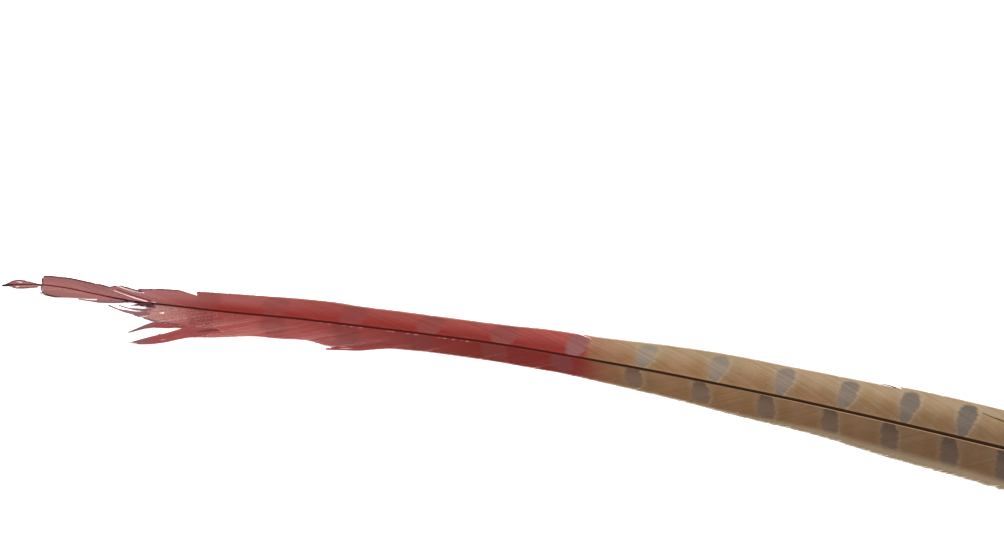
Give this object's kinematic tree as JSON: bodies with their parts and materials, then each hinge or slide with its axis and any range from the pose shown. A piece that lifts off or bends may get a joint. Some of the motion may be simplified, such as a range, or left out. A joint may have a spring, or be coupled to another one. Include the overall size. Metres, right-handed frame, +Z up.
{
  "type": "pheasant tail feather",
  "caption": "Long slender barred tail feather with a red-dyed, torn tip, lying upper side up on its vanes and quill.",
  "frame": {"origin": "on the surface that the feather lies on, in the middle of its length and width", "axes": "+X from the torn tip to the quill, +Z up, out of the feather's upper side"},
  "size_m": [0.52, 0.0402, 0.0061],
  "materials": {
    "buff_vane": "matt buff barbs with grey-brown cross bars, each with a pale rim",
    "dyed_vane": "matt red-dyed barbs, with the cross bars showing through",
    "shaft": "satin dark brown horn above, pale and grooved below, translucent at the quill",
    "down": "loose grey-buff downy barbs"
  },
  "bodies": {
    "root": {"tail_feather": "buff_vane"}
  },
  "joints": []
}
